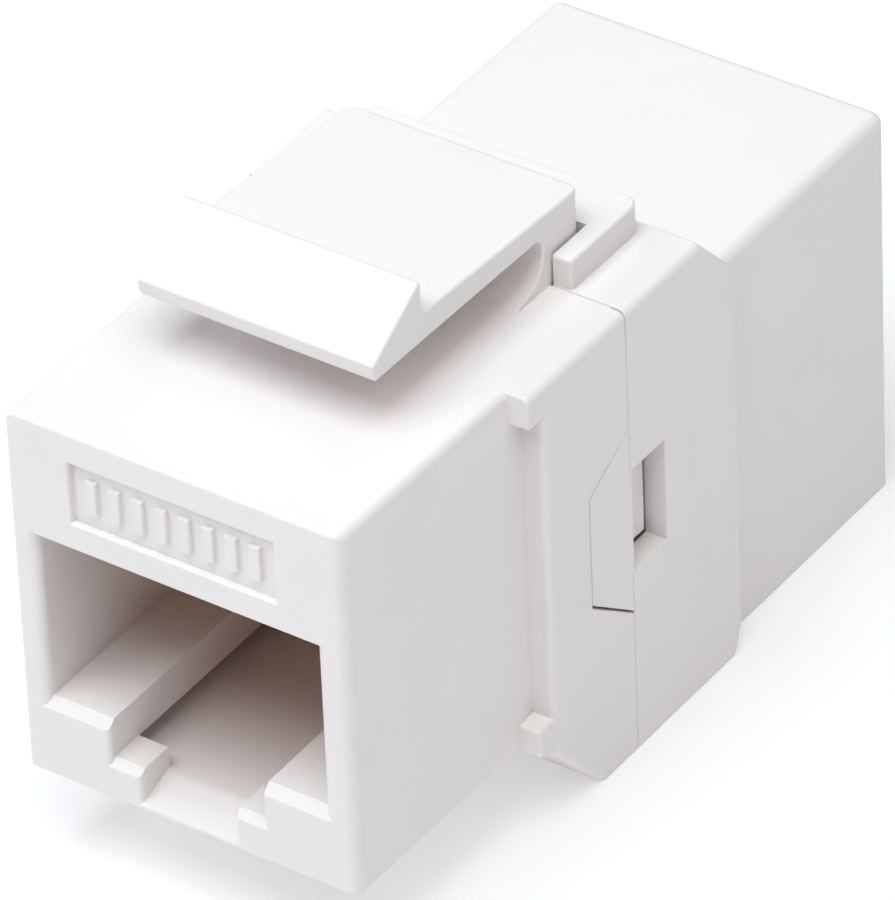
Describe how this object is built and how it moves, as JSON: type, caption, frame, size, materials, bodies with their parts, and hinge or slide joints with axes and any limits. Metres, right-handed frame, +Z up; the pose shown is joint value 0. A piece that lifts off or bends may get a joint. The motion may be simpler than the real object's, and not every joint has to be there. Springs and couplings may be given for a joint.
{
  "type": "ethernet inline coupler",
  "caption": "White snap-in keystone coupler with modular network sockets back to back, panel stop ears and a sprung wedge latch on top; joins patch cords end to end in a wall plate.",
  "frame": {"origin": "on the underside plane, under the middle of the part's box", "axes": "+Z up, the front port faces -Y and the rear port +Y, +X to the right seen from the front port"},
  "size_m": [0.0166, 0.0354, 0.025],
  "materials": {
    "white_plastic": "fine satin moulded white plastic",
    "carrier_plastic": "unpainted off-white engineering plastic",
    "board": "glass-epoxy board with green solder mask",
    "contact_metal": "gold-plated spring wire"
  },
  "bodies": {
    "housing": {"front_housing": "white_plastic", "rear_housing": "white_plastic", "circuit_board": "board", "front_contact_carrier": "carrier_plastic", "rear_contact_carrier": "carrier_plastic", "front_contact_leads": "contact_metal", "rear_contact_leads": "contact_metal"},
    "latch": {"keystone_latch": "white_plastic"},
    "front_springs": {"front_contact_1": "contact_metal", "front_contact_2": "contact_metal", "front_contact_3": "contact_metal", "front_contact_4": "contact_metal", "front_contact_5": "contact_metal", "front_contact_6": "contact_metal", "front_contact_7": "contact_metal", "front_contact_8": "contact_metal"},
    "rear_springs": {"rear_contact_1": "contact_metal", "rear_contact_2": "contact_metal", "rear_contact_3": "contact_metal", "rear_contact_4": "contact_metal", "rear_contact_5": "contact_metal", "rear_contact_6": "contact_metal", "rear_contact_7": "contact_metal", "rear_contact_8": "contact_metal"}
  },
  "joints": [
    {"name": "latch_press", "type": "hinge", "parent": "housing", "child": "latch", "pos_m": [0, -0.0007, 0.02256], "axis": [1, 0, 0], "range_deg": [0, 10], "stiffness_Nm_per_rad": 0.5},
    {"name": "front_spring_lift", "type": "hinge", "parent": "housing", "child": "front_springs", "pos_m": [0, -0.01483, 0.01503], "axis": [1, 0, 0], "range_deg": [0, 10], "stiffness_Nm_per_rad": 0.3},
    {"name": "rear_spring_lift", "type": "hinge", "parent": "housing", "child": "rear_springs", "pos_m": [0, 0.01483, 0.01183], "axis": [-1, 0, 0], "range_deg": [0, 10], "stiffness_Nm_per_rad": 0.3}
  ]
}
